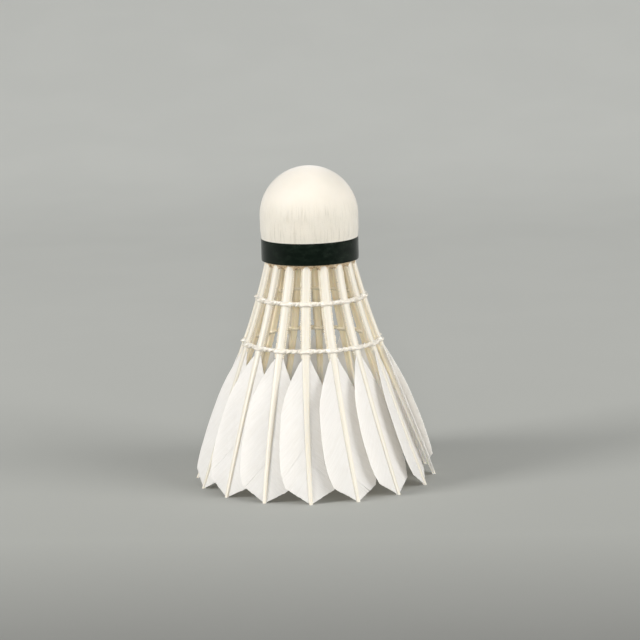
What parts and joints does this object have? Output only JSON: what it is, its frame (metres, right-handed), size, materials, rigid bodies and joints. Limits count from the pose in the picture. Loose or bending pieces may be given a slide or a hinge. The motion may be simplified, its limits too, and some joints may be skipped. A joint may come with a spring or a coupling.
{
  "type": "feather shuttlecock",
  "caption": "Feather badminton shuttlecock: a rounded leather-covered cork with a dark tape, above a flared skirt of overlapping feathers bound by threads.",
  "frame": {"origin": "centre of the circle of feather tips, on the surface the shuttlecock stands on", "axes": "+Z along the shuttlecock's axis from the feather tips to the top of the cork; feather_01 faces -Y, and the feathers are numbered anticlockwise seen from above"},
  "size_m": [0.0658, 0.0658, 0.0856],
  "materials": {
    "quill": "satin",
    "vane": "matte",
    "thread": "satin",
    "glue": "gloss",
    "natural_cork": "matte",
    "pressed_cork": "matte",
    "leather": "satin",
    "tape": "gloss"
  },
  "bodies": {
    "root": {"feather_01_quill": "quill", "feather_01_left_vane": "vane", "feather_01_right_vane": "vane", "feather_02_quill": "quill", "feather_02_left_vane": "vane", "feather_02_right_vane": "vane", "feather_03_quill": "quill", "feather_03_left_vane": "vane", "feather_03_right_vane": "vane", "feather_04_quill": "quill", "feather_04_left_vane": "vane", "feather_04_right_vane": "vane", "feather_05_quill": "quill", "feather_05_left_vane": "vane", "feather_05_right_vane": "vane", "feather_06_quill": "quill", "feather_06_left_vane": "vane", "feather_06_right_vane": "vane", "feather_07_quill": "quill", "feather_07_left_vane": "vane", "feather_07_right_vane": "vane", "feather_08_quill": "quill", "feather_08_left_vane": "vane", "feather_08_right_vane": "vane", "feather_09_quill": "quill", "feather_09_left_vane": "vane", "feather_09_right_vane": "vane", "feather_10_quill": "quill", "feather_10_left_vane": "vane", "feather_10_right_vane": "vane", "feather_11_quill": "quill", "feather_11_left_vane": "vane", "feather_11_right_vane": "vane", "feather_12_quill": "quill", "feather_12_left_vane": "vane", "feather_12_right_vane": "vane", "feather_13_quill": "quill", "feather_13_left_vane": "vane", "feather_13_right_vane": "vane", "feather_14_quill": "quill", "feather_14_left_vane": "vane", "feather_14_right_vane": "vane", "feather_15_quill": "quill", "feather_15_left_vane": "vane", "feather_15_right_vane": "vane", "feather_16_quill": "quill", "feather_16_left_vane": "vane", "feather_16_right_vane": "vane", "lower_thread": "thread", "upper_thread": "thread", "root_glue": "glue", "natural_cork": "natural_cork", "pressed_cork": "pressed_cork", "leather_cover": "leather", "tape": "tape"}
  },
  "joints": []
}
